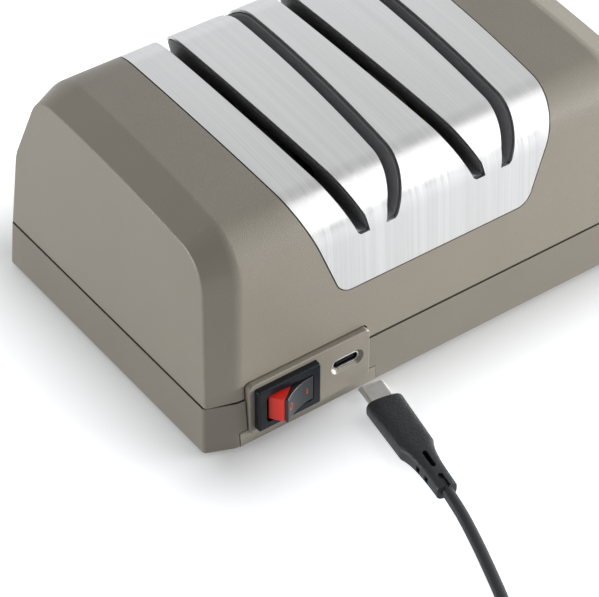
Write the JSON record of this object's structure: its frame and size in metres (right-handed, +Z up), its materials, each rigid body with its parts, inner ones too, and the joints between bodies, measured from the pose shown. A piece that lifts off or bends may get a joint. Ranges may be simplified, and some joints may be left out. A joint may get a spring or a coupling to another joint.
{
  "type": "electric knife sharpener",
  "caption": "Cordless electric knife sharpener: tapered case with a steel guide plate, slanted blade slots, spinning discs, rocker switch and an unplugged coiled charging lead.",
  "frame": {"origin": "middle of the underside of the appliance, without its charging lead, at the bottom of the feet", "axes": "+X along the case to the right as seen from the switch side, -Y towards the switch side, +Z up"},
  "size_m": [0.2338, 0.2602, 0.0744],
  "materials": {
    "housing": "satin",
    "steel": "brushed",
    "black_plastic": "satin",
    "switch_frame": "satin",
    "rocker": "satin",
    "plug_metal": "satin",
    "rubber": "matte",
    "board": "matte",
    "cell": "satin",
    "abrasive": "rough",
    "honing": "matte",
    "zinc": "satin",
    "motor_can": "satin",
    "lead": "matte"
  },
  "bodies": {
    "casing": {"upper_housing": "housing", "base_shell": "housing", "front_panel": "housing", "guide_plate": "steel", "guide_insert_1": "black_plastic", "guide_insert_2": "black_plastic", "switch_frame": "switch_frame", "usb_socket": "plug_metal", "charging_board": "board", "battery_cradle": "black_plastic", "battery_cell_1": "cell", "battery_cell_2": "cell", "motor": "motor_can", "motor_mount": "black_plastic", "bearing_bracket_1": "black_plastic", "bearing_bracket_2": "black_plastic", "bearing_1": "zinc", "bearing_2": "zinc", "foot_1": "rubber", "foot_2": "rubber", "foot_3": "rubber", "foot_4": "rubber", "base_screw_1": "zinc", "base_screw_2": "zinc", "base_screw_3": "zinc", "base_screw_4": "zinc", "usb_c_shell": "plug_metal", "usb_c_overmould": "lead", "charging_cord": "lead", "cord_coil": "lead", "usb_a_overmould": "lead", "usb_a_shell": "plug_metal"},
    "switch_rocker": {"rocker": "rocker"},
    "spindle": {"spindle_shaft": "zinc", "motor_shaft": "zinc", "shaft_coupling": "black_plastic", "spring_collar_1": "zinc", "spring_collar_2": "zinc", "disc_spring_1_left": "zinc", "disc_spring_1_right": "zinc", "disc_spring_2_left": "zinc", "disc_spring_2_right": "zinc"},
    "grinding_disc_left": {"disc_1_left": "abrasive"},
    "grinding_disc_right": {"disc_1_right": "abrasive"},
    "honing_disc_left": {"disc_2_left": "honing"},
    "honing_disc_right": {"disc_2_right": "honing"}
  },
  "joints": [
    {"name": "rocker_tilt", "type": "hinge", "parent": "casing", "child": "switch_rocker", "pos_m": [-0.0554, -0.05071, 0.0135], "axis": [0, 0, -1], "range_deg": [0, 37.6]},
    {"name": "spindle_spin", "type": "hinge", "parent": "casing", "child": "spindle", "pos_m": [0, -0.00211, 0.0407], "axis": [1, 0, 0], "continuous": true},
    {"name": "grinding_left_slide", "type": "slide", "parent": "spindle", "child": "grinding_disc_left", "axis": [1, 0, 0], "range_m": [0, 0.0015], "stiffness_N_per_m": 800, "springref_m": -0.001, "deforming": ["disc_spring_1_left"]},
    {"name": "grinding_right_slide", "type": "slide", "parent": "spindle", "child": "grinding_disc_right", "axis": [-1, 0, 0], "range_m": [0, 0.0015], "stiffness_N_per_m": 800, "springref_m": -0.001, "deforming": ["disc_spring_1_right"]},
    {"name": "honing_left_slide", "type": "slide", "parent": "spindle", "child": "honing_disc_left", "axis": [1, 0, 0], "range_m": [0, 0.0015], "stiffness_N_per_m": 800, "springref_m": -0.001, "deforming": ["disc_spring_2_left"]},
    {"name": "honing_right_slide", "type": "slide", "parent": "spindle", "child": "honing_disc_right", "axis": [-1, 0, 0], "range_m": [0, 0.0015], "stiffness_N_per_m": 800, "springref_m": -0.001, "deforming": ["disc_spring_2_right"]}
  ]
}
